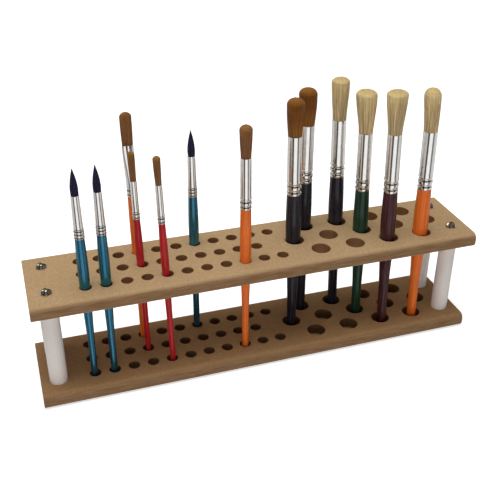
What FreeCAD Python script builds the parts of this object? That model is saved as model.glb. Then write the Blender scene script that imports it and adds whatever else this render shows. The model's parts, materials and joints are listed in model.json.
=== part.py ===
"""Rack for brushes and hobby tools: two drilled boards on four posts, with the brushes it holds."""
import FreeCAD, Part
import math
import os
from collections import namedtuple

V = FreeCAD.Vector

# Sizes are in millimetres. X runs along the boards, Y to the back and Z up.
# The origin is the middle of the base board's underside.

# Boards
board_thickness = 12.0
edge_round = 4.5  # routed along the four long edges of each board
left_margin = 41.0  # left end to the first small socket
right_margin = 26.5  # last large socket to the right end
side_margin = 17.5  # outer socket rows to the long edges

# Sockets: a field of small ones on the left and of large ones on the right, in three rows
row_pitch = 18.5
small_pitch = 15.0
small_columns = 11  # in the front and back rows, one fewer in the middle row
large_pitch = 29.0
large_columns = 5  # in the middle row, one fewer in the front and back rows
large_stagger = 15.0  # front and back large sockets stand this far right of the middle ones
field_gap = 16.5  # last small column to the first large one
small_play = 0.5  # small socket's diameter over the thickest handle that stands in one
large_play = 3.0  # the same for the large sockets
socket_floor = 3.0  # wood left under each blind socket of the base board

# Posts between the boards
post_diameter = 13.5
post_length = 66.0
post_end_inset = 13.5  # post axis to the board's end
post_side_inset = 18.0  # post axis to the board's long edge

# Screws: pan heads on the top board, flush countersunk heads under the base board
screw_length = 30.0  # under the head
shank_diameter = 4.0
shank_tip = 1.2  # bevel at the screw's end
thread_fit = 0.05  # gap round the shank in its post
hole_play = 0.3  # gap round the shank in a board
pilot_room = 2.0  # pilot hole past the screw's end
pan_diameter = 8.8
pan_rim = 0.8  # straight side of the pan head
pan_height = 3.8
flat_diameter = 8.4
flat_height = 2.4
head_fit = 0.1  # gap between a countersunk head and its seat
recess_span = 4.6
recess_width = 1.1
recess_depth = 1.8

# Brushes: what all of them share
belly_below_ferrule = 27.0
swell_length = 46.0  # from the slim shaft up to the belly
tail_bevel = 0.8
ferrule_wall = 0.35
glue_gap = 0.05  # between a ferrule and what it grips
hair_root = 12.0  # hair inside the ferrule
crown_share = 0.6  # blunt end of a rounded tuft, as a share of its spread
point_share = 0.6  # width of a pointed tuft half way up its crown, as a share of its spread
point_tip = 0.6  # end of a pointed tuft
point_crown = 16.5  # height over which a pointed tuft closes
crimp_depth = 0.25
crimp_width = 1.2
crimp_first = 1.6  # ferrule's lower end to the first crimp
rest_gap = 0.3  # tail to the socket's floor
rim_gap = 0.25  # handle to the rim that it leans on

# Flat ferrule: round on the handle, pressed to an oval at the hair
flat_grip = 12.0  # round length on the handle
flat_press = 22.0  # length that turns from round to oval
flat_mouth_depth = 3.0  # the oval's short side

# Sizes of a kind: diameters, then the ferrule's length and its crimps with their pitch
Kind = namedtuple("Kind", "field shaft belly neck mouth ferrule crimps pitch hair_form")
KINDS = {
    "pointed": Kind("small", shaft=5.1, belly=7.9, neck=7.0, mouth=5.8, ferrule=33.0, crimps=3, pitch=2.6,
                    hair_form="pointed"),
    "fine": Kind("small", shaft=4.2, belly=5.9, neck=5.0, mouth=5.0, ferrule=30.5, crimps=2, pitch=3.0,
                 hair_form="domed"),
    "flat": Kind("small", shaft=4.8, belly=6.8, neck=6.5, mouth=8.5, ferrule=40.0, crimps=2, pitch=3.6,
                 hair_form="flat"),
    "medium": Kind("small", shaft=5.3, belly=8.5, neck=8.1, mouth=7.9, ferrule=40.2, crimps=2, pitch=4.2,
                   hair_form="domed"),
    "thick": Kind("large", shaft=7.7, belly=12.0, neck=11.0, mouth=10.9, ferrule=47.6, crimps=2, pitch=5.0,
                  hair_form="domed"),
}

# A brush's row is -1 in front, 0 in the middle and 1 at the back; columns count from the left.
# It leans towards the angle given, in degrees from +X, and its tail stands slip to the right of its
# socket's middle. Handle and hair are lengths, spread is the hair's widest diameter and crown the
# height of its rounded end.
Brush = namedtuple("Brush", "name kind row column leans slip handle hair spread crown")
BRUSHES = (
    Brush("blue_brush_1", "pointed", -1, 1, 180, -0.6, handle=127.1, hair=19.9, spread=5.7,
          crown=point_crown),
    Brush("blue_brush_2", "pointed", -1, 2, 120, -0.5, handle=127.6, hair=19.9, spread=5.7,
          crown=point_crown),
    Brush("blue_brush_3", "pointed", 1, 7, 170, -0.4, handle=128.1, hair=20.4, spread=5.7,
          crown=point_crown),
    Brush("red_brush_1", "fine", 0, 4, 170, 0.0, handle=125.5, hair=22.5, spread=5.3, crown=2.5),
    Brush("red_brush_2", "fine", -1, 5, 180, 0.8, handle=129.2, hair=21.5, spread=5.6, crown=2.5),
    Brush("orange_brush_1", "flat", 1, 4, 175, -0.3, handle=135.2, hair=25.3, spread=8.9, crown=4.0),
    Brush("orange_brush_2", "medium", -1, 9, 170, 0.0, handle=131.2, hair=24.6, spread=9.7, crown=4.0),
    Brush("orange_brush_3", "thick", -1, 4, 165, 0.5, handle=126.1, hair=34.3, spread=13.1, crown=7.0),
    Brush("black_brush_1", "thick", 0, 1, 160, 0.0, handle=127.2, hair=29.0, spread=13.6, crown=5.5),
    Brush("black_brush_2", "thick", 1, 1, 80, 0.0, handle=126.0, hair=29.2, spread=14.6, crown=5.5),
    Brush("black_brush_3", "thick", 1, 2, 130, 1.0, handle=127.6, hair=33.6, spread=14.4, crown=4.0),
    Brush("green_brush", "thick", 0, 3, 165, 1.0, handle=122.8, hair=34.3, spread=16.6, crown=4.5),
    Brush("maroon_brush", "thick", -1, 3, 170, 1.4, handle=127.7, hair=33.8, spread=16.4, crown=4.0),
)

# What follows from the sizes above
small_first = left_margin
large_first = small_first + (small_columns - 1) * small_pitch + field_gap
board_length = large_first + (large_columns - 1) * large_pitch + right_margin
board_width = 2 * (row_pitch + side_margin)
top_underside = board_thickness + post_length
rack_height = top_underside + board_thickness
post_reach = screw_length - board_thickness  # screw inside a post


def thickest(field):
    """Diameter of the thickest handle that stands in a field's sockets."""
    return max(kind.belly for kind in KINDS.values() if kind.field == field)


SOCKET_DIAMETER = {
    "small": thickest("small") + small_play,
    "large": thickest("large") + large_play,
}


def socket_place(field, row, column):
    """Centre of a socket in plan."""
    if field == "small":
        along = small_first + (column - 1) * small_pitch
    else:
        along = large_first + (column - 1) * large_pitch + abs(row) * large_stagger
    return along - board_length / 2, row * row_pitch


def all_sockets():
    """Every socket of a board as field, row and column."""
    sockets = []
    for row in (-1, 0, 1):
        small_count = small_columns if row else small_columns - 1
        large_count = large_columns - 1 if row else large_columns
        sockets += [("small", row, column) for column in range(1, small_count + 1)]
        sockets += [("large", row, column) for column in range(1, large_count + 1)]
    return sockets


def post_places():
    """Post axes in plan, by name."""
    along = board_length / 2 - post_end_inset
    across = board_width / 2 - post_side_inset
    return {
        "front_left": (-along, -across),
        "front_right": (along, -across),
        "back_left": (-along, across),
        "back_right": (along, across),
    }


def segment(start, end):
    """Straight edge of a profile, from points given as radius and height."""
    return Part.LineSegment(V(start[0], 0, start[1]), V(end[0], 0, end[1])).toShape()


def arc(start, through, end):
    """Round edge of a profile through three points."""
    points = [V(point[0], 0, point[1]) for point in (start, through, end)]
    return Part.Arc(*points).toShape()


def outline(points):
    """Straight edges through a list of points."""
    return [segment(start, end) for start, end in zip(points, points[1:])]


def turned(edges):
    """Solid turned about the Z axis from the edges of a closed profile."""
    return Part.Face(Part.Wire(edges)).revolve(V(0, 0, 0), V(0, 0, 1), 360)


def cylinder(diameter, bottom, top, place=(0, 0)):
    """Upright cylinder between two heights."""
    return Part.makeCylinder(diameter / 2, top - bottom, V(place[0], place[1], bottom))


def plank(bottom):
    """Board with its long edges rounded, before drilling."""
    corner = V(-board_length / 2, -board_width / 2, bottom)
    board = Part.makeBox(board_length, board_width, board_thickness, corner)
    long_edges = [edge for edge in board.Edges if edge.BoundBox.XLength > board_length / 2]
    return board.makeFillet(edge_round, long_edges)


def socket_drills(bottom, top):
    """Cylinders that drill every socket between two heights."""
    drills = []
    for field, row, column in all_sockets():
        place = socket_place(field, row, column)
        drills.append(cylinder(SOCKET_DIAMETER[field], bottom, top, place))
    return drills


def screw_drills(bottom, top):
    """Cylinders that drill the screws' clearance holes between two heights."""
    diameter = shank_diameter + 2 * hole_play
    return [cylinder(diameter, bottom, top, place) for place in post_places().values()]


def top_board():
    """Upper board, drilled right through."""
    drills = socket_drills(top_underside, rack_height) + screw_drills(top_underside, rack_height)
    return plank(top_underside).cut(Part.makeCompound(drills))


def flat_head_seat(place):
    """Countersink in the base board's underside."""
    wide = flat_diameter / 2 + head_fit
    narrow = shank_diameter / 2 + head_fit
    seat = Part.makeCone(wide, narrow, flat_height)
    seat.translate(V(place[0], place[1], 0))
    return seat


def base_board():
    """Lower board, with blind sockets from above and countersunk screw holes from below."""
    drills = socket_drills(socket_floor, board_thickness) + screw_drills(0, board_thickness)
    drills += [flat_head_seat(place) for place in post_places().values()]
    return plank(0).cut(Part.makeCompound(drills))


def post(place):
    """Round post with a pilot hole for a screw in each end."""
    pilot = post_reach + pilot_room
    bore = shank_diameter + 2 * thread_fit
    solid = cylinder(post_diameter, board_thickness, top_underside, place)
    lower = cylinder(bore, board_thickness, board_thickness + pilot, place)
    upper = cylinder(bore, top_underside - pilot, top_underside, place)
    return solid.cut(Part.makeCompound([lower, upper]))


def cross_recess():
    """Cross-shaped driver recess, sunk below height zero."""
    long_side = Part.makeBox(
        recess_span, recess_width, recess_depth, V(-recess_span / 2, -recess_width / 2, -recess_depth)
    )
    short_side = Part.makeBox(
        recess_width, recess_span, recess_depth, V(-recess_width / 2, -recess_span / 2, -recess_depth)
    )
    return long_side.fuse(short_side)


def shank_outline(head_radius):
    """Profile points from the screw's tip up to the underside of its head at height zero."""
    radius = shank_diameter / 2
    tip = radius - shank_tip
    return [(0, -screw_length), (tip, -screw_length), (radius, shank_tip - screw_length), (radius, 0),
            (head_radius, 0)]


def pan_screw():
    """Pan-head screw, pointing down, its head standing on height zero."""
    rim = pan_diameter / 2
    rise = pan_height - pan_rim
    dome_radius = (rim * rim + rise * rise) / (2 * rise)
    half_angle = math.asin(rim / dome_radius) / 2
    fall = dome_radius * (1 - math.cos(half_angle))
    shoulder = (dome_radius * math.sin(half_angle), pan_height - fall)
    edges = outline(shank_outline(rim) + [(rim, pan_rim)])
    edges.append(arc((rim, pan_rim), shoulder, (0, pan_height)))
    edges.append(segment((0, pan_height), (0, -screw_length)))
    recess = cross_recess()
    recess.translate(V(0, 0, pan_height))
    return turned(edges).cut(recess)


def flat_screw():
    """Countersunk screw, pointing down, its head flush with height zero."""
    radius = shank_diameter / 2
    tip = radius - shank_tip
    points = [(0, -screw_length), (tip, -screw_length), (radius, shank_tip - screw_length),
              (radius, -flat_height), (flat_diameter / 2, 0), (0, 0), (0, -screw_length)]
    return turned(outline(points)).cut(cross_recess())


def top_screws():
    """The four pan-head screws, as separate solids."""
    screws = []
    for place in post_places().values():
        screw = pan_screw()
        screw.translate(V(place[0], place[1], rack_height))
        screws.append(screw)
    return Part.makeCompound(screws)


def base_screws():
    """The four countersunk screws under the base board, as separate solids."""
    screws = []
    for place in post_places().values():
        screw = flat_screw()
        screw.rotate(V(0, 0, 0), V(1, 0, 0), 180)
        screw.translate(V(place[0], place[1], 0))
        screws.append(screw)
    return Part.makeCompound(screws)


def lean(brush):
    """Axis of a leaning brush: its lowest point and a unit vector up the handle.

    The brush stands in its base socket and leans until its belly would be rim_gap short of the
    rim of the top board.
    """
    kind = KINDS[brush.kind]
    x, y = socket_place(kind.field, brush.row, brush.column)
    foot = V(x + brush.slip, y, socket_floor + rest_gap)
    offset = (SOCKET_DIAMETER[kind.field] - kind.belly) / 2 - rim_gap
    towards = math.radians(brush.leans)
    at_rim = V(x + offset * math.cos(towards), y + offset * math.sin(towards), rack_height)
    return foot, (at_rim - foot).normalize()


def stood(solid, brush):
    """A brush's piece, made upright over the origin, put in its socket."""
    foot, axis = lean(brush)
    stance = FreeCAD.Placement(foot, FreeCAD.Rotation(V(0, 0, 1), axis))
    placed = solid.copy()
    placed.Placement = stance.multiply(placed.Placement)
    return placed


def ferrule_radius(kind, height):
    """Outer radius of a round ferrule, tapered from its neck to its mouth."""
    return (kind.neck + (kind.mouth - kind.neck) * height / kind.ferrule) / 2


def grip_radius(kind, height):
    """Radius of what a round ferrule grips at a height above its lower end."""
    return ferrule_radius(kind, height) - ferrule_wall - glue_gap


def tenon_length(kind):
    """Handle inside the ferrule, which meets the hair's root unless the ferrule is flattened."""
    return flat_grip if kind.hair_form == "flat" else kind.ferrule - hair_root


def handle(brush):
    """Turned handle: bevelled tail, slim shaft, belly in one long arc and a tenon for the ferrule."""
    kind = KINDS[brush.kind]
    shaft = kind.shaft / 2
    neck = kind.neck / 2
    belly_height = brush.handle - belly_below_ferrule
    swell_height = belly_height - swell_length
    tenon = tenon_length(kind)
    foot_grip = neck - ferrule_wall - glue_gap
    end_grip = foot_grip if kind.hair_form == "flat" else grip_radius(kind, tenon)
    tail = [(0, 0), (shaft - tail_bevel, 0), (shaft, tail_bevel), (shaft, swell_height)]
    tip = brush.handle + tenon
    top = [(neck, brush.handle), (foot_grip, brush.handle), (end_grip, tip), (0, tip), (0, 0)]
    belly = arc(tail[-1], (kind.belly / 2, belly_height), top[0])
    return turned(outline(tail) + [belly] + outline(top))


def crimped_points(kind, length):
    """Outer profile of a ferrule from its lower end to a height, with its pressed crimps."""
    points = [(ferrule_radius(kind, 0), 0)]
    for number in range(kind.crimps):
        start = crimp_first + number * kind.pitch
        middle = start + crimp_width / 2
        end = start + crimp_width
        points.append((ferrule_radius(kind, start), start))
        points.append((ferrule_radius(kind, middle) - crimp_depth, middle))
        points.append((ferrule_radius(kind, end), end))
    points.append((ferrule_radius(kind, length), length))
    return points


def round_ferrule(kind):
    """Metal tube, tapered where its neck and mouth differ."""
    bore_foot = (ferrule_radius(kind, 0) - ferrule_wall, 0)
    bore_mouth = (ferrule_radius(kind, kind.ferrule) - ferrule_wall, kind.ferrule)
    points = [bore_foot] + crimped_points(kind, kind.ferrule) + [bore_mouth, bore_foot]
    return turned(outline(points))


def oval(long_side, short_side, height):
    """Oval wire across the brush's axis."""
    shape = Part.Ellipse(V(0, 0, height), long_side / 2, short_side / 2)
    return Part.Wire([shape.toShape()])


def pressed_tube(kind, wall):
    """Solid of the flat ferrule's upper part, a given wall inside its outer faces."""
    round_end = Part.Wire([Part.Circle(V(0, 0, flat_grip), V(0, 0, 1), kind.neck / 2 - wall).toShape()])
    wide = kind.mouth - 2 * wall
    deep = flat_mouth_depth - 2 * wall
    press_end = oval(wide, deep, flat_grip + flat_press)
    mouth = oval(wide, deep, kind.ferrule)
    lower = Part.makeLoft([round_end, press_end], True, True)
    upper = Part.makeLoft([press_end, mouth], True, True)
    return lower.fuse(upper)


def flat_ferrule(kind):
    """Metal tube, round and crimped on the handle, pressed flat towards the hair."""
    straight = kind._replace(mouth=kind.neck)
    inside = kind.neck / 2 - ferrule_wall
    points = [(inside, 0)] + crimped_points(straight, flat_grip) + [(inside, flat_grip), (inside, 0)]
    pressed = pressed_tube(kind, 0).cut(pressed_tube(kind, ferrule_wall))
    return turned(outline(points)).fuse(pressed).removeSplitter()


def ferrule(brush):
    """Ferrule in its place on the brush."""
    kind = KINDS[brush.kind]
    solid = flat_ferrule(kind) if kind.hair_form == "flat" else round_ferrule(kind)
    solid.translate(V(0, 0, brush.handle))
    return solid


def round_hair(brush):
    """Round tuft on a root that fills the ferrule's mouth, spreading and then closing at its crown."""
    kind = KINDS[brush.kind]
    mouth = (grip_radius(kind, kind.ferrule), kind.ferrule)
    root = (grip_radius(kind, kind.ferrule - hair_root), kind.ferrule - hair_root)
    tip = kind.ferrule + brush.hair
    widest = (brush.spread / 2, tip - brush.crown)
    points = [(0, root[1]), root, mouth, widest]
    if kind.hair_form == "pointed":
        points.append((point_share * brush.spread / 2, tip - brush.crown / 2))
        points.append((point_tip / 2, tip))
    else:
        points.append((crown_share * brush.spread / 2, tip))
    points += [(0, tip), (0, root[1])]
    return turned(outline(points))


def flat_hair(brush):
    """Flat tuft with a rounded end, on an oval root in the pressed mouth of its ferrule."""
    kind = KINDS[brush.kind]
    inset = 2 * (ferrule_wall + glue_gap)
    wide = kind.mouth - inset
    deep = flat_mouth_depth - inset
    tip = kind.ferrule + brush.hair
    root_end = max(kind.ferrule - hair_root, flat_grip + flat_press)
    root = Part.makeLoft([oval(wide, deep, root_end), oval(wide, deep, kind.ferrule)], True, True)
    widest = oval(brush.spread, flat_mouth_depth, tip - brush.crown)
    body = Part.makeLoft([oval(wide, deep, kind.ferrule), widest], True, True)
    end = oval(crown_share * brush.spread, crown_share * flat_mouth_depth, tip)
    crown = Part.makeLoft([widest, end], True, True)
    return root.fuse([body, crown])


def hair(brush):
    """Hair in its place on the brush."""
    solid = flat_hair(brush) if KINDS[brush.kind].hair_form == "flat" else round_hair(brush)
    solid.translate(V(0, 0, brush.handle))
    return solid


def all_parts():
    """Every node of the rack and its brushes, by name."""
    parts = {"top_board": top_board(), "base_board": base_board()}
    for name, place in post_places().items():
        parts["post_" + name] = post(place)
    parts["top_screws"] = top_screws()
    parts["base_screws"] = base_screws()
    for brush in BRUSHES:
        parts[brush.name + "_handle"] = stood(handle(brush), brush)
        parts[brush.name + "_ferrule"] = stood(ferrule(brush), brush)
        parts[brush.name + "_hair"] = stood(hair(brush), brush)
    return parts


os.makedirs("parts", exist_ok=True)
for node, shape in all_parts().items():
    shape.exportStep("parts/" + node + ".step")
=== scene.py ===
"""Looks of a brush rack: drilled fibreboard on white posts, holding paint brushes.

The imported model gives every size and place. This file adds the finishes, and smooth handles, ferrules
and tufts of hair in place of the plain solids.
"""

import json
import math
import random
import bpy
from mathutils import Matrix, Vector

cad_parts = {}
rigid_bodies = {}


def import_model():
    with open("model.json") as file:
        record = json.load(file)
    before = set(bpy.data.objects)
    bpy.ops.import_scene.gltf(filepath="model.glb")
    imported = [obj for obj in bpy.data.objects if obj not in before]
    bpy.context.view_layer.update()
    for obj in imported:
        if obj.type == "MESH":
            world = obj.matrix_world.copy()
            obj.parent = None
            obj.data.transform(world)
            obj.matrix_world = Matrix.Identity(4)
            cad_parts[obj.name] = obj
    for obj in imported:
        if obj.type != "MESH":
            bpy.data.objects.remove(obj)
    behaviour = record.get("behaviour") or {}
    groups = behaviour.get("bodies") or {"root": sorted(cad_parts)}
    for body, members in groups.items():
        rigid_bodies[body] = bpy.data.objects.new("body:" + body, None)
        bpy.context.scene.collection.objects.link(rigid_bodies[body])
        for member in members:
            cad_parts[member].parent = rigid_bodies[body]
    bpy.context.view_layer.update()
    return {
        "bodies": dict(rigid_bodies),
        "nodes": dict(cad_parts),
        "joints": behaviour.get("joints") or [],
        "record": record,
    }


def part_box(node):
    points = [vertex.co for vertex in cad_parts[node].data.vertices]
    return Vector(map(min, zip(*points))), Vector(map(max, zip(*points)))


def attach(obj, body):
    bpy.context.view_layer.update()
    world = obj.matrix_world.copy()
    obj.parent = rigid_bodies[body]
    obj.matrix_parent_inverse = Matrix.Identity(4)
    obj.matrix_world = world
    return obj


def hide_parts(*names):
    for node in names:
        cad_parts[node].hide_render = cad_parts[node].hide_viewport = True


bl_info = {
    "name": "Brush Rack",
    "version": (1, 0, 0),
    "blender": (4, 5, 0),
    "location": "View3D > Sidebar > Brush Rack",
    "description": "Finishes a drilled brush rack and dresses its brushes with lacquer, metal and hair",
    "category": "Object",
}

import bpy
from bpy.props import FloatProperty, FloatVectorProperty, IntProperty, PointerProperty
from mathutils import Matrix, Vector, noise

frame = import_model()

RACK = "rack"
BRUSHES = [body for body in frame["bodies"] if body != RACK]
SLOT_OF = {part["node"]: part["material_slot"] for part in frame["record"]["subparts"]}
MM = 0.001
UP = Vector((0, 0, 1))

# Camera, solved from the sockets and board corners in the photograph
CAMERA_PLACE = Vector((-0.1719, -0.5055, 0.4038))
CAMERA_HEADING = math.radians(18.33)
CAMERA_DIP = math.radians(30.73)
CAMERA_ROLL = math.radians(0.41)
CAMERA_LENS = 57.3
CAMERA_CLIP = 10 * MM


def tint(red, green, blue):
    """Scene-linear colour from the usual steps of 0 to 255."""
    def linear(step):
        share = step / 255
        return share / 12.92 if share <= 0.04045 else ((share + 0.055) / 1.055) ** 2.4
    return linear(red), linear(green), linear(blue), 1.0


def colour_property(name, description, default):
    """Colour setting with an alpha of one."""
    return FloatVectorProperty(
        name=name, description=description, default=default, size=4, min=0, max=1, subtype="COLOR"
    )


def length_property(name, description, default):
    """Length setting in metres."""
    return FloatProperty(
        name=name, description=description, default=default, min=0, unit="LENGTH", precision=5
    )


def share_property(name, description, default):
    """Setting between nought and one."""
    return FloatProperty(name=name, description=description, default=default, min=0, max=1, subtype="FACTOR")


def power_property(name, description, default):
    """Power of a light in watts."""
    return FloatProperty(name=name, description=description, default=default, min=0, unit="POWER")


class RackFinish(bpy.types.PropertyGroup):
    """Finishes of the boards, posts and screws"""

    board_face: colour_property("Board face", "Sanded face of the fibreboard", tint(193, 162, 122))
    fleck: share_property("Fleck", "Brightness of the darker fibres against the face", 0.76)
    # The edge colour is the browner tone of cut fibreboard, darkened further as painted shade on the faces
    # turned sideways
    board_edge: colour_property("Board edge", "Routed and cut edges", tint(144, 108, 70))
    # Painted shade: the base face is a darker, browner copy of the board face, for the shade under the top
    # board
    base_face: colour_property("Base face", "Face of the base board, a browner sheet", tint(167, 130, 91))
    # The socket wall colour is the tone of drilled fibreboard, darkened as painted shade inside the sockets
    socket_wall: colour_property("Socket wall", "Drilled walls of the sockets", tint(164, 120, 80))
    fibre: length_property("Fibre", "Length of the fibres that fleck the board", 0.0011)
    post: colour_property("Post", "White plastic of the posts", tint(238, 231, 227))
    post_roughness: share_property("Post roughness", "Roughness of the posts", 0.36)
    screw: colour_property("Screw", "Nickel plate of the screws", tint(222, 214, 192))
    screw_roughness: share_property("Screw roughness", "Roughness of the screws", 0.1)


class BrushFinish(bpy.types.PropertyGroup):
    """Finishes of the brushes, and the make of their ferrules and hair"""

    blue_handle: colour_property("Blue lacquer", "Pearly blue handles", tint(44, 124, 156))
    red_handle: colour_property("Red lacquer", "Red handles", tint(192, 10, 24))
    orange_handle: colour_property("Orange lacquer", "Orange handles", tint(246, 116, 26))
    black_handle: colour_property("Black lacquer", "Black handles", tint(22, 19, 34))
    green_handle: colour_property("Green lacquer", "Green handle", tint(16, 56, 34))
    maroon_handle: colour_property("Maroon lacquer", "Maroon handle", tint(62, 7, 17))
    pearl: share_property("Pearl", "Metal flake in the blue lacquer", 0.88)
    ferrule: colour_property("Ferrule", "Polished nickel of the ferrules", tint(240, 237, 233))
    ferrule_roughness: share_property("Ferrule roughness", "Roughness of the ferrules", 0.1)
    crimp_depth: length_property("Crimp depth", "Depth of the grooves pressed into a ferrule", 0.0004)
    dark_hair: colour_property("Dark hair", "Pointed hair of the blue brushes", tint(42, 32, 66))
    brown_hair: colour_property("Brown hair", "Hair of the slim red and orange brushes", tint(144, 98, 58))
    golden_hair: colour_property("Golden hair", "Hair of two black brushes", tint(138, 83, 30))
    cream_hair: colour_property("Cream hair", "Bristle of the thick brushes", tint(232, 208, 160))
    hairs: IntProperty(
        name="Hairs", description="Loose hairs on a tuft 14 mm wide", default=420, min=0, max=2000
    )
    hair_thickness: length_property("Hair thickness", "Diameter of a bristle at its root", 0.0003)


class StageSettings(bpy.types.PropertyGroup):
    """Floor and lights"""

    floor: colour_property("Floor", "Pale floor", tint(238, 238, 238))
    key_power: power_property("Key light", "Power of the large soft light above", 12.3)
    front_power: power_property("Front light", "Power of the low light beside the camera", 5.4)
    room: FloatProperty(name="Room", description="Strength of the soft light all round", default=0.5, min=0)


class RackSettings(bpy.types.PropertyGroup):
    """All settings of the brush rack"""

    rack: PointerProperty(type=RackFinish)
    brush: PointerProperty(type=BrushFinish)
    stage: PointerProperty(type=StageSettings)


class Nodes:
    """Node tree of a material or a world in the making, empty at the start."""

    def __init__(self, owner):
        owner.use_nodes = True
        self.tree = owner.node_tree
        self.tree.nodes.clear()

    def feed(self, target, value):
        """Put a number, colour or socket into a socket."""
        if isinstance(value, bpy.types.NodeSocket):
            self.tree.links.new(value, target)
        else:
            target.default_value = value

    def node(self, kind, inputs=None, **settings):
        """New node with some of its settings, and with values for inputs by their names or numbers."""
        made = self.tree.nodes.new(kind)
        for name, value in settings.items():
            setattr(made, name, value)
        for key, value in (inputs or {}).items():
            self.feed(made.inputs[key], value)
        return made

    def parts(self, vector):
        """X, Y and Z of a vector, by their names."""
        return self.node("ShaderNodeSeparateXYZ", {"Vector": vector}).outputs

    def ramp(self, factor, *stops):
        """Colours spread along a factor, from pairs of place and colour."""
        made = self.node("ShaderNodeValToRGB", {"Fac": factor})
        elements = made.color_ramp.elements
        while len(elements) < len(stops):
            elements.new(0.5)
        for element, (position, colour) in zip(elements, stops):
            element.position = position
            element.color = colour
        return made.outputs["Color"]

    def levels(self, factor, low, high, to_low=0.0, to_high=1.0, curve="SMOOTHSTEP"):
        """A factor brought from one span to another and kept within it."""
        inputs = {"Value": factor, "From Min": low, "From Max": high, "To Min": to_low, "To Max": to_high}
        return self.node("ShaderNodeMapRange", inputs, interpolation_type=curve).outputs["Result"]

    def maths(self, operation, first, second=0.0):
        """Arithmetic on two values."""
        return self.node("ShaderNodeMath", {0: first, 1: second}, operation=operation).outputs["Value"]

    def choose(self, factor, first, second):
        """The first shader where the factor is nought and the second where it is one."""
        return self.node("ShaderNodeMixShader", {0: factor, 1: first, 2: second}).outputs["Shader"]

    def background(self, colour, strength):
        """Light of a world."""
        made = self.node("ShaderNodeBackground", {"Color": colour, "Strength": strength})
        return made.outputs["Background"]


class Finish(Nodes):
    """A node material in the making, around one principled shader."""

    def __init__(self, name):
        self.material = bpy.data.materials.new(name)
        super().__init__(self.material)
        self.shader = self.node("ShaderNodeBsdfPrincipled")
        self.node("ShaderNodeOutputMaterial", {"Surface": self.shader.outputs["BSDF"]})

    def put(self, **values):
        """Set sockets of the shader by their names, with spaces written as underscores."""
        for name, value in values.items():
            self.feed(self.shader.inputs[name.replace("_", " ")], value)

    def place(self):
        """Place on the surface in the piece's own frame, in metres."""
        return self.node("ShaderNodeTexCoord").outputs["Object"]

    def attribute(self, name, output="Fac"):
        """A value kept on the mesh."""
        return self.node("ShaderNodeAttribute", attribute_name=name).outputs[output]

    def stretched(self, vector, scales):
        """A place stretched along its axes."""
        return self.node("ShaderNodeMapping", {"Vector": vector, "Scale": scales}).outputs["Vector"]

    def noise(self, vector, scale, detail=3.0, roughness=0.55, curl=0.0):
        """Noise between about nought and one, at one scale or at a scale for each axis."""
        if not isinstance(scale, float):
            vector = self.stretched(vector, scale)
            scale = 1.0
        inputs = {"Vector": vector, "Scale": scale, "Detail": detail, "Roughness": roughness}
        return self.node("ShaderNodeTexNoise", {**inputs, "Distortion": curl}).outputs["Fac"]

    def mix(self, factor, first, second, blend="MIX"):
        """Two colours mixed by a factor."""
        inputs = {"Factor": factor, "A": first, "B": second}
        return self.node("ShaderNodeMix", inputs, data_type="RGBA", blend_type=blend).outputs["Result"]

    def bump(self, height, distance, strength):
        """Bumps of a given height in metres on the shader's normal."""
        made = self.node("ShaderNodeBump", {"Height": height, "Distance": distance, "Strength": strength})
        self.put(Normal=made.outputs["Normal"])


def grey(value):
    """A colour without hue."""
    return value, value, value, 1.0


def darker(colour, share):
    """A colour brought towards black."""
    return tuple(part * share for part in colour[:3]) + (1.0,)


def lighter(colour, share):
    """A colour brought towards white."""
    return tuple(part + (1 - part) * share for part in colour[:3]) + (1.0,)


# Stretch of the two layers of fibres along each axis, and how much they curl
FIBRES_ALONG = (0.5, 1.3, 1.3)
FIBRES_ACROSS = (1.2, 0.55, 1.2)
FIBRE_CURL = 1.6
SPECKS_PER_FIBRE = 2.4
# Walls this near a board's ends and long sides are its edges, and the others are drilled
END_BAND = 1 * MM
SIDE_BAND = 4 * MM
# Painted shade: the walls of the base sockets are darkened against those of the top board, for the shade
# under it
BASE_WALL_PAINTED_SHADE = 0.5


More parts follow.
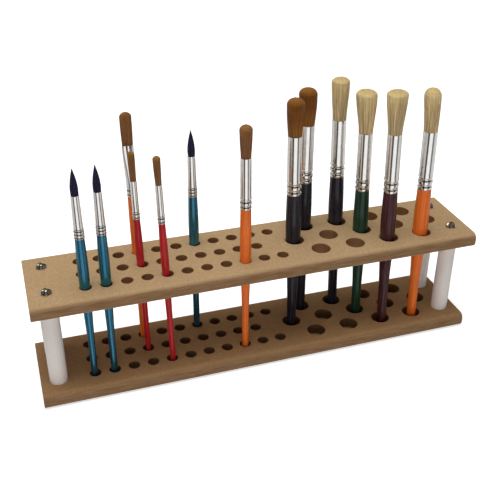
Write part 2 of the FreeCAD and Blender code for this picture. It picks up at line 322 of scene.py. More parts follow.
def fibreboard(name, settings, face_tone_and_shade, drilled):
    """Sanded fibreboard: flecked faces, and edges and drilled walls that are darker partly in their own tone
    and partly as painted shade.
    """
    made = Finish(name)
    place = made.place()
    along, across = [
        made.noise(place, [part / settings.fibre for part in layer], curl=FIBRE_CURL)
        for layer in (FIBRES_ALONG, FIBRES_ACROSS)
    ]
    fibres = made.maths("MULTIPLY", along, across)
    specks = made.noise(place, SPECKS_PER_FIBRE / settings.fibre, detail=1.0)
    patches = made.noise(place, 34.0, detail=4.0)
    flecked = made.mix(made.levels(fibres, 0.2, 0.36), darker(face_tone_and_shade, settings.fleck), face_tone_and_shade)
    speckled = made.mix(made.levels(specks, 0.62, 0.8, 0.0, 0.4), flecked, darker(face_tone_and_shade, 0.55))
    face = made.mix(made.levels(patches, 0.3, 0.7, 0.0, 0.16), speckled, darker(face_tone_and_shade, 0.84))

    grain = made.noise(place, (60, 60, 900), detail=4.0)
    edge = made.mix(
        made.levels(grain, 0.3, 0.7), darker(settings.board_edge, 0.82), lighter(settings.board_edge, 0.05)
    )
    edge = made.mix(made.levels(specks, 0.5, 0.75, 0.0, 0.4), edge, darker(settings.board_edge, 0.6))
    wall = made.mix(made.levels(specks, 0.35, 0.7), darker(drilled, 0.75), drilled)

    _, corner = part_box("top_board")
    spot = made.parts(place)
    off_end = made.maths("LESS_THAN", made.maths("ABSOLUTE", spot["X"]), corner.x - END_BAND)
    off_side = made.maths("LESS_THAN", made.maths("ABSOLUTE", spot["Y"]), corner.y - SIDE_BAND)
    inside = made.maths("MULTIPLY", off_end, off_side)
    # Faces turned sideways take the edge and wall colours, which carry painted shade as well as their own
    # tone
    facing = made.parts(made.node("ShaderNodeNewGeometry").outputs["Normal"])
    upright = made.levels(made.maths("ABSOLUTE", facing["Z"]), 0.35, 0.95, 1.0, 0.0)
    made.put(
        Base_Color=made.mix(upright, face, made.mix(inside, edge, wall)),
        Roughness=made.levels(fibres, 0.15, 0.5, 0.9, 0.72),
        Specular_IOR_Level=0.25,
    )
    made.bump(made.maths("ADD", fibres, specks), 0.12 * MM, 0.55)
    return made.material


def white_plastic(settings):
    """Drawn white rod: satin, a little light passing into it, with faint lengthwise draw lines."""
    made = Finish("white_plastic")
    place = made.place()
    lines = made.noise(place, (1400, 1400, 14), detail=2.0)
    scuffs = made.noise(place, 420.0, detail=5.0, roughness=0.7)
    made.put(
        Base_Color=made.mix(
            made.levels(lines, 0.3, 0.7, 0.0, 0.6), tuple(settings.post), darker(settings.post, 0.9)
        ),
        Roughness=made.levels(scuffs, 0.35, 0.7, settings.post_roughness, settings.post_roughness + 0.16),
        Subsurface_Weight=0.35,
        Subsurface_Radius=(1.0, 0.95, 0.9),
        Subsurface_Scale=4 * MM,
        IOR=1.5,
    )
    made.bump(lines, 0.03 * MM, 0.5)
    return made.material


def nickel(name, colour, roughness):
    """Plated metal with fine polishing marks and a faint warm bloom."""
    made = Finish(name)
    place = made.place()
    marks = made.noise(place, (500, 500, 5200), detail=2.0)
    bloom = made.noise(place, 140.0)
    made.put(
        Base_Color=made.mix(made.levels(bloom, 0.4, 0.75, 0.0, 0.5), tuple(colour), darker(colour, 0.86)),
        Metallic=1.0,
        Roughness=made.levels(marks, 0.3, 0.7, 0.75 * roughness, 1.5 * roughness),
    )
    made.bump(marks, 0.01 * MM, 0.25)
    return made.material


def lacquer(name, colour, pearl):
    """Dipped handle: clear gloss over a colour that runs a little thin and thick along the wood."""
    made = Finish(name)
    place = made.place()
    streaks = made.noise(place, (900, 900, 26))
    dips = made.noise(place, 70.0, detail=2.0)
    specks = made.noise(place, 1900.0, detail=1.0)
    base = made.mix(made.levels(streaks, 0.3, 0.72), darker(colour, 0.8), lighter(colour, 0.03))
    base = made.mix(made.levels(dips, 0.35, 0.7, 0.0, 0.35), base, darker(colour, 0.72))
    made.put(
        Base_Color=base,
        Metallic=pearl,
        Roughness=made.levels(specks, 0.35, 0.7, 0.24, 0.34),
        Coat_Weight=0.3,
        Coat_Roughness=0.05,
        Specular_IOR_Level=0.12,
    )
    made.bump(made.maths("ADD", dips, made.maths("MULTIPLY", specks, 0.2)), 0.06 * MM, 0.3)
    return made.material


def hair_finish(slot, root, colour, shoulder, tip):
    """Bundled hair, coloured from root to tip with some painted light, streaked along its length with painted
    shade between locks, and varied hair by hair.
    """
    made = Finish(slot)
    along = made.attribute("along")
    strand = made.attribute("strand")
    streak = made.attribute("streak", "Vector")
    locks = made.noise(streak, (15, 15, 1.1), detail=4.0)
    fine = made.noise(streak, (38, 38, 1.8))
    # Colour by height along the hair, darker at the very root, with the painted light of the root and
    # shoulder tints
    length = made.ramp(
        along, (0.0, darker(root, 0.85)), (0.16, root), (0.5, colour), (0.82, shoulder), (1.0, tip)
    )
    # Painted shade: darker streaks for the gaps between locks, which also vary the hair's own tone
    lock_tone_and_gap_shade = made.levels(locks, 0.34, 0.58, 0.66, 1.04)
    lines = made.levels(fine, 0.32, 0.66, 0.68, 1.2)
    each = made.levels(strand, 0.0, 1.0, 0.66, 1.36)
    light = made.maths("MULTIPLY", made.maths("MULTIPLY", lock_tone_and_gap_shade, lines), each)
    shade = made.node("ShaderNodeCombineColor", {"Red": light, "Green": light, "Blue": light})
    made.put(
        Base_Color=made.mix(1.0, length, shade.outputs["Color"], "MULTIPLY"),
        Roughness=made.levels(fine, 0.3, 0.7, 0.45, 0.65),
        Specular_IOR_Level=0.12,
        Sheen_Weight=0.5,
        Sheen_Roughness=0.4,
        Sheen_Tint=lighter(colour, 0.3),
    )
    made.bump(made.maths("ADD", locks, fine), 0.2 * MM, 0.5)
    return made.material


# Bands in which vertices count as a handle's tail and shaft, a ferrule's rim and a tuft's widest ring
TAIL_BAND = 0.01 * MM
SHAFT_BAND = 4 * MM
RIM_BAND = 0.1 * MM
WIDEST_BAND = 0.02 * MM
# A ferrule is flat where its mouth is more than this many times as wide as it is deep
FLAT_SHARE = 1.5


def reach(corners):
    """Largest distance from the brush's axis."""
    return max(math.hypot(corner.x, corner.y) for corner in corners)


class Brush:
    """Axes and sizes of one brush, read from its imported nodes, in metres along its own axis."""

    def __init__(self, name):
        self.name = name
        joint = next(joint for joint in frame["joints"] if joint["child"] == name)
        axis = Vector(joint["axis"]).normalized()
        corners = self.corners_of("handle")
        tail = min(axis.dot(corner) for corner in corners)
        ring = [corner for corner in corners if axis.dot(corner) - tail < TAIL_BAND]
        foot = Vector([(min(part) + max(part)) / 2 for part in zip(*ring)])
        self.stance = Matrix.Translation(foot) @ UP.rotation_difference(axis).to_matrix().to_4x4()
        self.read_handle(self.upright("handle"))
        self.read_ferrule(self.upright("ferrule"))
        self.read_hair(self.upright("hair"))

    def node(self, piece):
        """Name of the CAD node of a piece."""
        return self.name + "_" + piece

    def corners_of(self, piece):
        """Vertices of a CAD node where it stands."""
        return [vertex.co for vertex in frame["nodes"][self.node(piece)].data.vertices]

    def upright(self, piece):
        """Vertices of a CAD node in the brush's own axes."""
        back = self.stance.inverted()
        return [back @ corner for corner in self.corners_of(piece)]

    def read_handle(self, corners):
        """Slim shaft and belly."""
        self.shaft = reach(corner for corner in corners if corner.z < SHAFT_BAND)
        self.belly = reach(corners)

    def read_ferrule(self, corners):
        """Lower end, mouth and their half widths."""
        self.neck_height = min(corner.z for corner in corners)
        self.mouth_height = max(corner.z for corner in corners)
        neck = [corner for corner in corners if corner.z < self.neck_height + RIM_BAND]
        mouth = [corner for corner in corners if corner.z > self.mouth_height - RIM_BAND]
        self.neck = max(corner.x for corner in neck)
        self.mouth_wide = max(corner.x for corner in mouth)
        self.mouth_deep = max(corner.y for corner in mouth)

    def read_hair(self, corners):
        """Free end of the hair and where it is widest."""
        self.tip_height = max(corner.z for corner in corners)
        self.spread_wide = max(corner.x for corner in corners)
        self.spread_deep = max(corner.y for corner in corners)
        widest = [corner.z for corner in corners if corner.x > self.spread_wide - WIDEST_BAND]
        self.spread_height = sum(widest) / len(widest)

    def is_flat(self):
        """True where the ferrule is pressed to an oval."""
        return self.mouth_wide > FLAT_SHARE * self.mouth_deep


SHARP_ANGLE = math.radians(50)


def add_object(name, data):
    """New object in the scene."""
    made = bpy.data.objects.new(name, data)
    bpy.context.scene.collection.objects.link(made)
    return made


class Skin:
    """Mesh in the making: rings of vertices joined by faces, with values kept on the vertices."""

    def __init__(self):
        self.points = []
        self.faces = []
        self.values = []

    def add_ring(self, points, values=None):
        """Add one ring and give the number of its first vertex."""
        first = len(self.points)
        self.points += points
        self.values += values or [None] * len(points)
        return first

    def join(self, first, second, sides):
        """Faces between two rings."""
        for side in range(sides):
            after = (side + 1) % sides
            self.faces.append((first + side, first + after, second + after, second + side))

    def cap(self, first, sides, facing_up):
        """Flat end on a ring."""
        loop = [first + side for side in range(sides)]
        self.faces.append(tuple(loop if facing_up else reversed(loop)))

    def tube(self, rings, sides, closed_loop=False):
        """Tube through rings, capped at both ends or joined into a loop."""
        for first, second in zip(rings, rings[1:]):
            self.join(first, second, sides)
        if closed_loop:
            self.join(rings[-1], rings[0], sides)
        else:
            self.cap(rings[0], sides, False)
            self.cap(rings[-1], sides, True)

    def piece(self, name, stance, material):
        """Object made of the mesh, standing where the brush stands."""
        mesh = bpy.data.meshes.new(name)
        mesh.from_pydata([stance @ point for point in self.points], [], self.faces)
        mesh.polygons.foreach_set("use_smooth", [True] * len(mesh.polygons))
        mesh.set_sharp_from_angle(angle=SHARP_ANGLE)
        mesh.materials.append(material)
        if mesh.validate():
            raise RuntimeError("the mesh of " + name + " has faulty faces")
        return add_object(name, mesh)


def oval(wide, deep, height, sides):
    """Points round an oval across the brush's axis."""
    turns = [2 * math.pi * side / sides for side in range(sides)]
    return [Vector((wide * math.cos(turn), deep * math.sin(turn), height)) for turn in turns]


def within(share):
    """A share kept between nought and one."""
    return min(1.0, max(0.0, share))


def ease(share):
    """Smooth step from nought to one."""
    share = within(share)
    return share * share * (3 - 2 * share)


def between(start, end, share):
    """Value a share of the way from start to end."""
    return start + (end - start) * share


def stand_for(piece, brush, node):
    """Put a piece in a CAD node's place: it rides with the brush, and the node is hidden."""
    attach(piece, brush.name)
    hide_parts(node)


HANDLE_SIDES = 64
HANDLE_STEPS = 56
SWELL_START = 30 * MM
BELLY_BELOW_NECK = 27 * MM
NECK_SHOULDER = 0.1 * MM
TAIL_ROUND = 2.2 * MM
TAIL_RINGS = 6
TAIL_TURN = math.radians(15)
# Share of the shaft's radius that the rounding takes off the end of the tail
TAIL_BITE = 0.75
TENON_LENGTH = 8 * MM
TENON_PLAY = 0.06 * MM
# From the outside of a ferrule's neck in to its bore
BORE_INSET = 0.46 * MM


def handle_radius(brush, height):
    """Radius of a turned handle: rounded tail, slim shaft, long swell to the belly, slimmer neck."""
    belly_height = brush.neck_height - BELLY_BELOW_NECK
    if height < belly_height:
        share = (height - SWELL_START) / (belly_height - SWELL_START)
        radius = between(brush.shaft, brush.belly, ease(share))
    else:
        share = (height - belly_height) / BELLY_BELOW_NECK
        radius = between(brush.belly, brush.neck - NECK_SHOULDER, ease(0.5 * share) * 2)
    if height < TAIL_ROUND:
        bite = (TAIL_ROUND - height) / TAIL_ROUND
        radius -= TAIL_BITE * brush.shaft * (1 - math.sqrt(max(0.0, 1 - bite * bite)))
    return radius


def handle_heights(brush):
    """Heights of a handle's rings, closer together at the rounded tail."""
    tail = [TAIL_ROUND * (1 - math.cos(TAIL_TURN * ring)) for ring in range(TAIL_RINGS)]
    shares = [step / HANDLE_STEPS for step in range(HANDLE_STEPS + 1)]
    return tail + [between(TAIL_ROUND, brush.neck_height, share) for share in shares]


def build_handle(brush, material):
    """Lacquered handle, running on as a tenon inside the ferrule."""
    skin = Skin()
    stations = [(height, handle_radius(brush, height)) for height in handle_heights(brush)]
    tenon = brush.neck - BORE_INSET - TENON_PLAY
    stations += [(brush.neck_height, tenon), (brush.neck_height + TENON_LENGTH, tenon)]
    rings = [skin.add_ring(oval(radius, radius, height, HANDLE_SIDES)) for height, radius in stations]
    skin.tube(rings, HANDLE_SIDES)
    piece = skin.piece(brush.name + "_lacquered_handle", brush.stance, material)
    stand_for(piece, brush, brush.node("handle"))


FERRULE_SIDES = 72
FERRULE_WALL = 0.35 * MM
CRIMPED_STEPS = 60
PLAIN_STEPS = 24
ROLLED_RIM = 0.5 * MM
# Shares of the wall: how far a rim rolls in, and what is left of it towards the mouth
RIM_ROLL = 0.5
MOUTH_WALL = 0.7
# The bore widens over this length to the thinner wall
BORE_STEP = 1 * MM
# Shares of a flat ferrule's length where its pressing to an oval starts and ends
PRESS_START = 0.22
PRESS_END = 0.92
FINE_GROOVES = 3
FINE_PITCH = 2.5 * MM
WIDE_GROOVES = 2
WIDE_PITCH_BASE = 1.2 * MM
WIDE_PITCH_SHARE = 0.36
# Shares of the pitch: the first groove's height and a groove's width
FIRST_GROOVE = 0.68
GROOVE_WIDTH = 0.17
# The ridge on each side of a groove: its distance in widths and its height as a share of the depth
RIDGE_OFF = 2.1
RIDGE_SHARE = 0.65


class Crimp:
    """Pressed grooves of one ferrule, by their heights above its lower end."""

    def __init__(self, brush, depth):
        fine = SLOT_OF[brush.node("hair")] == "dark_hair"
        count = FINE_GROOVES if fine else WIDE_GROOVES
        pitch = FINE_PITCH if fine else WIDE_PITCH_BASE + 2 * WIDE_PITCH_SHARE * brush.neck
        self.depth = depth
        self.width = GROOVE_WIDTH * pitch
        self.grooves = [pitch * (FIRST_GROOVE + number) for number in range(count)]
        self.top = self.grooves[-1] + pitch

    def shift(self, height):
        """How far the grooves and the ridges beside them move the wall at a height."""
        moved = 0.0
        for groove in self.grooves:
            off = (height - groove) / self.width
            moved -= self.depth * math.exp(-off * off)
            for side in (-1, 1):
                ridge = off - side * RIDGE_OFF
                moved += RIDGE_SHARE * self.depth * math.exp(-ridge * ridge)
        return moved


def ferrule_half(brush, height):
    """Half width and half depth of a ferrule's tube at a height above its lower end."""
    share = height / (brush.mouth_height - brush.neck_height)
    if not brush.is_flat():
        radius = between(brush.neck, brush.mouth_wide, share)
        return radius, radius
    run = within((share - PRESS_START) / (PRESS_END - PRESS_START))
    pressed = between(run, ease(run), 0.5)
    return between(brush.neck, brush.mouth_wide, pressed), between(brush.neck, brush.mouth_deep, pressed)


def ferrule_stations(brush, crimp):
    """Heights above the lower end with the shift of the wall there: up the outside and down the bore."""
    length = brush.mouth_height - brush.neck_height
    heights = [crimp.top * step / CRIMPED_STEPS for step in range(CRIMPED_STEPS + 1)]
    heights += [between(crimp.top, length, step / PLAIN_STEPS) for step in range(1, PLAIN_STEPS + 1)]
    stations = []
    for height in heights:
        edge = min(height, length - height)
        turn = max(0.0, 1 - edge / ROLLED_RIM)
        stations.append((height, crimp.shift(height) - RIM_ROLL * FERRULE_WALL * turn * turn))
    thin = -MOUTH_WALL * FERRULE_WALL
    stations += [(length, thin), (crimp.top, thin), (crimp.top - BORE_STEP, -BORE_INSET), (0, -BORE_INSET)]
    return stations


def build_ferrule(brush, material, depth):
    """Metal tube with pressed grooves, rolled rims and an open mouth."""
    skin = Skin()
    rings = []
    for height, shift in ferrule_stations(brush, Crimp(brush, depth)):
        wide, deep = ferrule_half(brush, height)
        ring = oval(wide + shift, deep + shift, brush.neck_height + height, FERRULE_SIDES)
        rings.append(skin.add_ring(ring))
    skin.tube(rings, FERRULE_SIDES, closed_loop=True)
    piece = skin.piece(brush.name + "_crimped_ferrule", brush.stance, material)
    stand_for(piece, brush, brush.node("ferrule"))


class TuftStyle:
    """How the hair of one slot grows and closes."""

    def __init__(self, clumps, wild, core, ragged, pointed=False, flare=1.0, dome=2.2):
        self.clumps = clumps
        self.wild = wild * MM
        self.core = core
        self.ragged = ragged * MM
        self.pointed = pointed
        self.flare = flare
        self.dome = dome


TUFT_STYLES = {
    "dark_hair": TuftStyle(clumps=14, wild=0.04, core=0.985, ragged=0.2, pointed=True),
    "brown_hair": TuftStyle(clumps=18, wild=0.08, core=0.97, ragged=0.3, flare=0.9, dome=2.0),
    "golden_hair": TuftStyle(clumps=22, wild=0.12, core=0.97, ragged=0.35, flare=0.8, dome=2.2),
    "cream_hair": TuftStyle(clumps=15, wild=0.4, core=0.94, ragged=1.1, flare=1.1, dome=2.3),
}

# Tints of the hair at its root, at the shoulder of the tuft and at its tip, with painted light in them: the
# golden root and the cream shoulder are lighter against the shade low on the tuft and on its sides below the
# crown
HAIR_TINTS_AND_PAINTED_LIGHT = {
    "dark_hair": (tint(41, 31, 64), tint(41, 32, 64), tint(40, 32, 62)),
    "brown_hair": (tint(150, 103, 64), tint(144, 98, 55), tint(152, 107, 60)),
    "golden_hair": (tint(164, 109, 43), tint(124, 74, 24), tint(148, 98, 36)),
    "cream_hair": (tint(227, 203, 156), tint(238, 214, 158), tint(214, 188, 128)),
}

# How far some tufts are bent sideways at their free end, and the powers that shape a bend and a point
TUFT_BEND = {"orange_brush_3": -1.9 * MM, "green_brush": -1.2 * MM, "black_brush_2": -0.6 * MM}
BEND_CURVE = 1.6
POINT_CURVE = 1.7

CORE_SIDES = 84
CORE_RINGS = 34
CORE_STRAND = 0.4
POINT = 0.25 * MM
# Locks on the side of a tuft, coarse and fine: how many there are, how they change on the way up and
# how much each stands out, as shares of the clumps, the length and the depth
LOCK_COUNTS = (1 / 6, 3.5 / 6)
LOCK_CHANGES = (1.2, 2.0)
LOCK_SHARES = (1.3, 0.7)
# Depth of the locks at the root and at the tip, as shares of how wild the hair is
LOCK_DEPTHS = (0.25, 0.75)
# Width of a lock on the crown, and how far locks end apart there as a share of the ragged length
LOCK = 0.9 * MM
UNEVEN_SHARE = 0.7


class Tuft:
    """Form of one brush's hair, in the brush's own axes."""

    def __init__(self, brush):
        self.brush = brush
        self.style = TUFT_STYLES[SLOT_OF[brush.node("hair")]]
        self.low = brush.mouth_height
        self.length = brush.tip_height - brush.mouth_height
        self.crown = brush.tip_height - brush.spread_height
        self.root_wide = brush.mouth_wide - FERRULE_WALL
        self.root_deep = brush.mouth_deep - FERRULE_WALL
        self.bend = TUFT_BEND.get(brush.name, 0.0)
        self.seed = 10 * BRUSHES.index(brush.name)

    def open_half(self, height):
        """Half width and depth of the hair before it closes at the crown."""
        share = within((height - self.low) / (self.length - self.crown)) ** self.style.flare
        return (
            between(self.root_wide, self.brush.spread_wide, share),
            between(self.root_deep, self.brush.spread_deep, share),
        )

    def up_crown(self, height):
        """Share of the way from the widest place to the tip."""
        return within((height - self.brush.spread_height) / self.crown)

    def domed(self, share):
        """Rounded fall from one to nought, the same for a crown's width and for its height."""
        return (1 - share ** self.style.dome) ** (1 / self.style.dome)

    def closing(self, height):
        """Share of the open width that is left at a height in the crown."""
        share = self.up_crown(height)
        return 1 - share ** POINT_CURVE if self.style.pointed else self.domed(share)

    def end_height(self, depth):
        """Height where a hair ends that stands at a share of the radius."""
        return self.brush.spread_height + self.crown * self.domed(depth)

    def shift(self, height):
        """Sideways bend at a height."""
        share = max(0.0, (height - self.low) / self.length)
        return self.bend * share ** BEND_CURVE

    def along(self, height):
        """Share of the way from mouth to tip."""
        return within((height - self.low) / self.length)

    def clump_swell(self, turn, height):
        """Locks of hair standing a little out of the bundle and sinking in between."""
        up = self.along(height)
        swell = 0.0
        for count, change, share in zip(LOCK_COUNTS, LOCK_CHANGES, LOCK_SHARES):
            girth = count * self.style.clumps
            spot = (girth * math.cos(turn), girth * math.sin(turn), change * up + self.seed)
            swell += share * noise.noise(Vector(spot))
        return swell * self.style.wild * between(*LOCK_DEPTHS, up)

    def uneven_end(self, across, through, height):
        """How much higher or lower the hair ends at a place on the crown."""
        if self.style.pointed:
            return 0.0
        spot = Vector((across / LOCK, through / LOCK, self.seed))
        return UNEVEN_SHARE * self.style.ragged * ease(self.up_crown(height)) * noise.noise(spot)


HAIR_SIDES = 3
HAIR_RINGS = 6
HAIR_ROOT = 1.5 * MM
HAIR_TAPER = 0.7
# Loose hairs about a clump: their spread in half clumps, and how far they are drawn back to it
CLUMP_SPREAD = 1.1
CLUMP_PULL = (0.2, 0.7)
# Shares of the radius at which outer hairs stand, and of the length at which pointed hair ends
POINTED_DEPTHS = (0.94, 1.0)
POINTED_ENDS = (0.5, 1.0)
OUTER_DEPTHS = (0.93, 1.01)
# Share of the hairs that stand inside the tuft and show on its crown
INNER_SHARE = 0.5
# The free ends draw in by a share of the radius from here up, and sway by a share of the wildness
DRAW_START = 0.7
DRAW_IN = 0.06
SWAY = 0.6
# Hairs are counted for the usual half width, and finer on tufts below the slim one
USUAL_HALF = 7 * MM
SLIM_HALF = 5 * MM
SLIM_FINENESS = 0.6


def core_heights(tuft):
    """Heights of the core's rings, closer together where the crown rounds over."""
    top = tuft.brush.tip_height - tuft.style.ragged
    bottom = tuft.low - HAIR_ROOT
    half = CORE_RINGS // 2
    body = [between(bottom, tuft.brush.spread_height, step / half) for step in range(half)]
    turns = [0.5 * math.pi * step / half for step in range(half + 1)]
    return body + [between(tuft.brush.spread_height, top, math.sin(turn)) for turn in turns]


def build_core(tuft, skin):
    """Closed bundle of hair under the loose hairs."""
    rings = []
    for height in core_heights(tuft):
        wide, deep = tuft.open_half(height)
        stretch = (height - tuft.brush.spread_height) / (1 - tuft.style.ragged / tuft.crown)
        close = tuft.closing(tuft.brush.spread_height + max(0.0, stretch)) * tuft.style.core
        spread = 1.0 if tuft.style.pointed else close
        points = []
        values = []
        for side in range(CORE_SIDES):
            turn = 2 * math.pi * side / CORE_SIDES
            swell = tuft.clump_swell(turn, height)
            right = max(POINT / 2, (wide + swell) * close) * math.cos(turn)
            back = max(POINT / 2, (deep + swell) * close) * math.sin(turn)
            end = height + tuft.uneven_end(right, back, height)
            points.append(Vector((tuft.shift(height) + right, back, end)))
            streak = (spread * math.cos(turn), spread * math.sin(turn), tuft.along(height))
            values.append((tuft.along(height), CORE_STRAND, streak))
        rings.append(skin.add_ring(points, values))
    skin.tube(rings, CORE_SIDES)


def hair_points(tuft, rng):
    """Centre line of one loose hair, from inside the mouth to its free end."""
    style = tuft.style
    clump = 2 * math.pi * rng.randrange(style.clumps) / style.clumps
    start = clump + rng.gauss(0, CLUMP_SPREAD * math.pi / style.clumps)
    lean = between(start, clump, rng.uniform(*CLUMP_PULL))
    if style.pointed:
        depth = rng.uniform(*POINTED_DEPTHS)
        end = between(tuft.low, tuft.brush.tip_height, rng.uniform(*POINTED_ENDS))
    else:
        inner = rng.random() < INNER_SHARE
        depth = math.sqrt(rng.uniform(0.0, 1.0)) if inner else rng.uniform(*OUTER_DEPTHS)
        end = tuft.end_height(min(1.0, depth)) - style.ragged * rng.random()
    sway = (rng.gauss(0, style.wild), rng.gauss(0, style.wild))
    points = []
    for step in range(HAIR_RINGS):
        share = step / (HAIR_RINGS - 1)
        height = between(tuft.low - HAIR_ROOT, end, share)
        wide, deep = tuft.open_half(height)
        drawn = 1 - DRAW_IN * ease((share - DRAW_START) / (1 - DRAW_START))
        close = depth * (tuft.closing(height) if style.pointed else drawn)
        turn = between(start, lean, share * share)
        loose = SWAY * share * share
        points.append(Vector((
            tuft.shift(height) + close * wide * math.cos(turn) + loose * sway[0],
            close * deep * math.sin(turn) + loose * sway[1],
            height,
        )))
    return points, start


def build_hair(tuft, skin, thickness, rng):
    """One loose hair as a slim closed tube that tapers to its end."""
    points, turn = hair_points(tuft, rng)
    strand = rng.random()
    rings = []
    for step, point in enumerate(points):
        share = step / (HAIR_RINGS - 1)
        radius = 0.5 * thickness * (1 - HAIR_TAPER * share)
        along = tuft.along(point.z)
        value = (along, strand, (math.cos(turn), math.sin(turn), along))
        ring = [point + offset for offset in oval(radius, radius, 0.0, HAIR_SIDES)]
        rings.append(skin.add_ring(ring, [value] * HAIR_SIDES))
    skin.tube(rings, HAIR_SIDES)


def keep_values(mesh, values):
    """Keep each vertex's share of the length, its hair's own tint and its place round the tuft."""
    along, strand, streak = zip(*values)
    for name, shares in (("along", along), ("strand", strand)):
        mesh.attributes.new(name, "FLOAT", "POINT").data.foreach_set("value", shares)
    places = [part for place in streak for part in place]
    mesh.attributes.new("streak", "FLOAT_VECTOR", "POINT").data.foreach_set("vector", places)


def build_tuft(brush, material, settings):
    """Tuft of hair: a grooved bundle with loose hairs over it and on its crown."""
    tuft = Tuft(brush)
    skin = Skin()
    build_core(tuft, skin)
    rng = random.Random(brush.name)
    fineness = SLIM_FINENESS if brush.spread_wide < SLIM_HALF else 1.0
    count = round(settings.hairs * brush.spread_wide / USUAL_HALF / fineness)
    for _ in range(count):
        build_hair(tuft, skin, settings.hair_thickness * fineness, rng)
    piece = skin.piece(brush.name + "_tuft", brush.stance, material)
    keep_values(piece.data, skin.values)
    stand_for(piece, brush, brush.node("hair"))


def dress(nodes, material):
    """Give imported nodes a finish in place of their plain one."""
    for node in nodes:
        data = frame["nodes"][node].data
        data.materials.clear()
        data.materials.append(material)


class BRUSHRACK_OT_boards(bpy.types.Operator):
    """Finish the two drilled boards in sanded fibreboard"""

    bl_idname = "brush_rack.boards"
    bl_label = "Boards"

    def execute(self, context):
        settings = context.scene.brush_rack.rack
        wall = tuple(settings.socket_wall)
        dress(("top_board",), fibreboard("top_fibreboard", settings, tuple(settings.board_face), wall))
        # Painted shade: the base board takes the darker base face and socket walls at half brightness, for
        # the shade under the top board
        shaded = darker(wall, BASE_WALL_PAINTED_SHADE)
        dress(("base_board",), fibreboard("base_fibreboard", settings, tuple(settings.base_face), shaded))
        return {"FINISHED"}


class BRUSHRACK_OT_posts(bpy.types.Operator):
    """Finish the posts in white plastic"""

    bl_idname = "brush_rack.posts"
    bl_label = "Posts"

    def execute(self, context):
        posts = [node for node in frame["nodes"] if node.startswith("post_")]
        dress(posts, white_plastic(context.scene.brush_rack.rack))
        return {"FINISHED"}


class BRUSHRACK_OT_screws(bpy.types.Operator):
    """Finish the screws in nickel plate"""

    bl_idname = "brush_rack.screws"
    bl_label = "Screws"

    def execute(self, context):
        settings = context.scene.brush_rack.rack
        dress(("top_screws", "base_screws"), nickel("screw_nickel", settings.screw, settings.screw_roughness))
        return {"FINISHED"}


class BRUSHRACK_OT_handles(bpy.types.Operator):
    """Turn a smooth lacquered handle for every brush"""

    bl_idname = "brush_rack.handles"
    bl_label = "Handles"

    def execute(self, context):
        settings = context.scene.brush_rack.brush
        finishes = {}
        for name in BRUSHES:
            brush = Brush(name)
            slot = SLOT_OF[brush.node("handle")]
            if slot not in finishes:
                pearl = settings.pearl if slot == "blue_handle" else 0.0
                finishes[slot] = lacquer(slot.replace("handle", "lacquer"), getattr(settings, slot), pearl)
            build_handle(brush, finishes[slot])
        return {"FINISHED"}


class BRUSHRACK_OT_ferrules(bpy.types.Operator):
    """Press a polished ferrule for every brush"""

    bl_idname = "brush_rack.ferrules"
    bl_label = "Ferrules"

    def execute(self, context):
        settings = context.scene.brush_rack.brush
        polished = nickel("ferrule_nickel", settings.ferrule, settings.ferrule_roughness)
        for name in BRUSHES:
            build_ferrule(Brush(name), polished, settings.crimp_depth)
        return {"FINISHED"}


class BRUSHRACK_OT_tufts(bpy.types.Operator):
    """Grow the hair of every brush"""

    bl_idname = "brush_rack.tufts"
    bl_label = "Hair"

    def execute(self, context):
        settings = context.scene.brush_rack.brush
        finishes = {
            slot: hair_finish(slot, root, tuple(getattr(settings, slot)), shoulder, tip)
            for slot, (root, shoulder, tip) in HAIR_TINTS_AND_PAINTED_LIGHT.items()
        }
        for name in BRUSHES:
            brush = Brush(name)
            build_tuft(brush, finishes[SLOT_OF[brush.node("hair")]], settings)
        return {"FINISHED"}


FLOOR_SIZE = 8.0
# The floor's white from near the rack to far off: two distances in metres, then two strengths
FLOOR_FADE = (0.5, 1.5, 0.6, 0.95)
KEY_SIZE = 0.9
KEY_PLACE = Vector((-0.16, -0.08, 1.3))
FRONT_SIZE = 0.8
FRONT_PLACE = Vector((-0.45, -1.4, 0.16))
LIGHT_COLOUR = (1.0, 0.985, 0.96)

# Brightness of the studio by its bearing from the camera, in degrees to the right
STUDIO_BEARINGS = (
    (-180, 0.9), (-172, 0.86), (-168, 0.08), (-150, 0.08), (-145, 0.68), (-130, 0.66), (-92, 0.62),
    (-46, 0.54), (-40, 0.08), (-18, 0.08), (-12, 1.0), (34, 1.0), (42, 0.1), (57, 0.16), (65, 0.6),
    (110, 0.74), (145, 0.7), (150, 0.08), (168, 0.08), (172, 0.86), (180, 0.9),
)
# The window behind the rack, in the same way
WINDOW_BEARINGS = ((-180, 2.6), (-125, 2.6), (-110, 0.0), (172, 0.0), (180, 2.6))
# Share of each, and brightness of the soft light, by how steeply the direction rises
STUDIO_HEIGHTS = ((0.0, 1.0), (0.1, 0.16))
WINDOW_HEIGHTS = ((0.34, 0.0), (0.42, 1.0), (0.66, 1.0), (0.74, 0.0))
SOFT_LIGHT = ((0.0, 0.46), (0.18, 0.42), (0.32, 0.08), (0.6, 0.12), (0.85, 1.0))


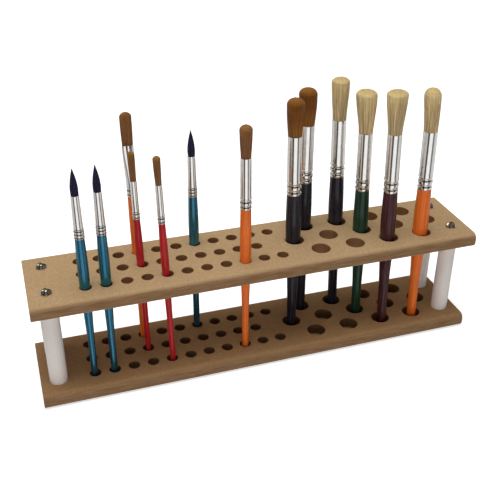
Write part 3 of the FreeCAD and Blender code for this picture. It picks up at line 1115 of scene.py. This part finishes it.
def studio_world(strength):
    """White studio with dark screens round it, which metal shows, and a soft light from above."""
    world = bpy.data.worlds.new("studio")
    made = Nodes(world)
    direction = made.parts(made.node("ShaderNodeTexCoord").outputs["Generated"])
    forward = made.maths("MULTIPLY", direction["Y"], -1.0)
    bearing = made.maths("ADD", made.maths("ARCTAN2", direction["X"], forward), CAMERA_HEADING)
    around = made.maths("ADD", made.maths("DIVIDE", bearing, 2 * math.pi), 0.5)

    def brightness(factor, stops):
        return made.ramp(factor, *[(position, grey(value)) for position, value in stops])

    def patch(bearings, heights):
        turned = brightness(around, [(degrees / 360 + 0.5, value) for degrees, value in bearings])
        return made.maths("MULTIPLY", turned, brightness(direction["Z"], heights))

    screens = patch(STUDIO_BEARINGS, STUDIO_HEIGHTS)
    studio = made.maths("ADD", screens, patch(WINDOW_BEARINGS, WINDOW_HEIGHTS))
    soft = made.background(brightness(direction["Z"], SOFT_LIGHT), strength)
    seen = made.node("ShaderNodeLightPath").outputs
    shown = made.choose(seen["Is Glossy Ray"], soft, made.background(studio, 1.0))
    plain = made.maths("MAXIMUM", seen["Is Camera Ray"], seen["Is Transmission Ray"])
    final = made.choose(plain, shown, made.background(grey(1.0), 1.0))
    made.node("ShaderNodeOutputWorld", {"Surface": final})
    return world


def floor_material(colour):
    """Pale floor that keeps a soft shadow near the rack and that the camera sees as white far off."""
    material = bpy.data.materials.new("floor")
    made = Nodes(material)
    paint = made.node("ShaderNodeBsdfDiffuse", {"Color": colour})
    place = made.node("ShaderNodeNewGeometry").outputs["Position"]
    distance = made.node("ShaderNodeVectorMath", {0: place}, operation="LENGTH")
    fade = made.levels(distance.outputs["Value"], *FLOOR_FADE, curve="LINEAR")
    seen = made.node("ShaderNodeLightPath").outputs
    white = made.maths("MULTIPLY", seen["Is Camera Ray"], fade)
    glow = made.node("ShaderNodeEmission", {"Strength": white})
    both = made.node("ShaderNodeAddShader", {0: paint.outputs["BSDF"], 1: glow.outputs["Emission"]})
    made.node("ShaderNodeOutputMaterial", {"Surface": both.outputs["Shader"]})
    return material


def build_floor(colour):
    """Floor under the rack, left out of reflections so that metal shows the studio."""
    half = FLOOR_SIZE / 2
    mesh = bpy.data.meshes.new("floor")
    corners = [(-half, -half, 0), (half, -half, 0), (half, half, 0), (-half, half, 0)]
    mesh.from_pydata(corners, [], [(0, 1, 2, 3)])
    mesh.materials.append(floor_material(colour))
    floor = add_object("floor", mesh)
    floor.visible_glossy = False


def build_light(name, place, size, power):
    """Soft square light turned to the rack, which metal shows only through the studio."""
    lamp = bpy.data.lights.new(name, "AREA")
    lamp.energy = power
    lamp.size = size
    lamp.color = LIGHT_COLOUR
    light = add_object(name, lamp)
    light.location = place
    light.rotation_euler = (-place).to_track_quat("-Z", "Y").to_euler()
    light.visible_glossy = False


def build_camera():
    """Camera at the photograph's place and angle."""
    heading, dip = CAMERA_HEADING, CAMERA_DIP
    forward = Vector((
        math.sin(heading) * math.cos(dip), math.cos(heading) * math.cos(dip), -math.sin(dip)
    ))
    right = forward.cross(UP).normalized()
    above = right.cross(forward)
    rolled_right = right * math.cos(CAMERA_ROLL) + above * math.sin(CAMERA_ROLL)
    rolled_above = above * math.cos(CAMERA_ROLL) - right * math.sin(CAMERA_ROLL)
    stance = Matrix((rolled_right, rolled_above, -forward)).transposed().to_4x4()
    lens = bpy.data.cameras.new("camera")
    lens.lens = CAMERA_LENS
    lens.clip_start = CAMERA_CLIP
    camera = add_object("camera", lens)
    camera.matrix_world = Matrix.Translation(CAMERA_PLACE) @ stance
    bpy.context.scene.camera = camera


class BRUSHRACK_OT_stage(bpy.types.Operator):
    """Set the floor, studio light and camera"""

    bl_idname = "brush_rack.stage"
    bl_label = "Stage"

    def execute(self, context):
        settings = context.scene.brush_rack.stage
        context.scene.view_settings.view_transform = "Standard"
        context.scene.world = studio_world(settings.room)
        build_floor(tuple(settings.floor))
        build_light("key_light", KEY_PLACE, KEY_SIZE, settings.key_power)
        build_light("front_light", FRONT_PLACE, FRONT_SIZE, settings.front_power)
        build_camera()
        return {"FINISHED"}


OPERATORS = (
    BRUSHRACK_OT_boards,
    BRUSHRACK_OT_posts,
    BRUSHRACK_OT_screws,
    BRUSHRACK_OT_handles,
    BRUSHRACK_OT_ferrules,
    BRUSHRACK_OT_tufts,
    BRUSHRACK_OT_stage,
)


class BRUSHRACK_PT_sidebar(bpy.types.Panel):
    """Settings and steps of the brush rack"""

    bl_idname = "BRUSHRACK_PT_sidebar"
    bl_label = "Brush Rack"
    bl_space_type = "VIEW_3D"
    bl_region_type = "UI"
    bl_category = "Brush Rack"

    def draw(self, context):
        settings = context.scene.brush_rack
        for group in (settings.rack, settings.brush, settings.stage):
            box = self.layout.box()
            for name in group.__annotations__:
                box.prop(group, name)
        for operator in OPERATORS:
            self.layout.operator(operator.bl_idname)


CLASSES = (RackFinish, BrushFinish, StageSettings, RackSettings) + OPERATORS + (BRUSHRACK_PT_sidebar,)


def register():
    """Add the classes and the scene's settings."""
    for cls in CLASSES:
        bpy.utils.register_class(cls)
    bpy.types.Scene.brush_rack = PointerProperty(type=RackSettings)


def unregister():
    """Take them away again."""
    del bpy.types.Scene.brush_rack
    for cls in reversed(CLASSES):
        bpy.utils.unregister_class(cls)


def main():
    """Dress the rack and its brushes, then set the stage."""
    register()
    bpy.ops.brush_rack.boards()
    bpy.ops.brush_rack.posts()
    bpy.ops.brush_rack.screws()
    bpy.ops.brush_rack.handles()
    bpy.ops.brush_rack.ferrules()
    bpy.ops.brush_rack.tufts()
    bpy.ops.brush_rack.stage()


if __name__ == "__main__":
    main()
